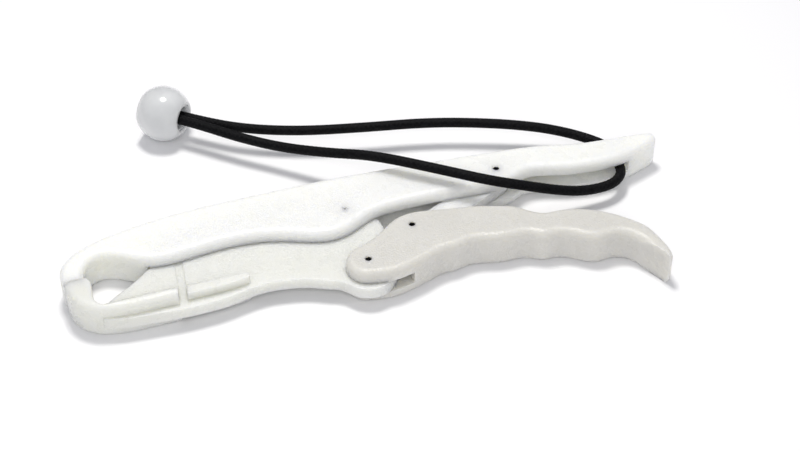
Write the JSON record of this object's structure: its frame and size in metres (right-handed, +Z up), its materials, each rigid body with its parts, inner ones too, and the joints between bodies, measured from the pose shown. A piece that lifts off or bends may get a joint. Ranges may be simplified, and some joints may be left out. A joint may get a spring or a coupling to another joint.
{
  "type": "lip grip",
  "caption": "Locking lip grip: hooked jaws closed by a squeeze lever and toggle link, with an elastic cord lanyard and a ball.",
  "frame": {"origin": "centre of the grip's plan box, without the lanyard, on the plane it lies on", "axes": "+X along the grip from the jaws to the tail, +Y across it towards the upper handle's far edge, +Z up out of the lying face, along every pivot"},
  "size_m": [0.2664, 0.1707, 0.0256],
  "materials": {
    "moulded_shell": "translucent white, satin with a fine moulded grain",
    "black_pin": "black oxide steel",
    "clear_ball": "translucent white, polished",
    "elastic_cord": "braided black cover over an elastic core"
  },
  "bodies": {
    "handle": {"upper_handle": "moulded_shell", "jaw_pivot_pin": "black_pin", "link_body_pin": "black_pin", "lanyard_cord": "elastic_cord", "lanyard_ball": "clear_ball", "lanyard_knot": "elastic_cord"},
    "jaw": {"lower_jaw": "moulded_shell"},
    "lever": {"squeeze_lever": "moulded_shell", "lever_pivot_pin": "black_pin", "link_lever_pin": "black_pin"},
    "link": {"toggle_link": "moulded_shell"}
  },
  "joints": [
    {"name": "jaw_pivot", "type": "hinge", "parent": "handle", "child": "jaw", "pos_m": [-0.01091, 0.02386, 0], "axis": [0, 0, 1], "range_deg": [0, 20]},
    {"name": "lever_pivot", "type": "hinge", "parent": "jaw", "child": "lever", "pos_m": [-0.01041, -0.00794, 0], "axis": [0, 0, 1], "range_deg": [-63, 0]},
    {"name": "link_pivot", "type": "hinge", "parent": "handle", "child": "link", "pos_m": [0.05859, 0.02786, 0], "axis": [0, 0, 1], "range_deg": [0, 27]}
  ],
  "couplings": [
    {"joint": "lever_pivot", "follows": "jaw_pivot", "ratio": -3.15},
    {"joint": "link_pivot", "follows": "jaw_pivot", "ratio": 1.35}
  ]
}
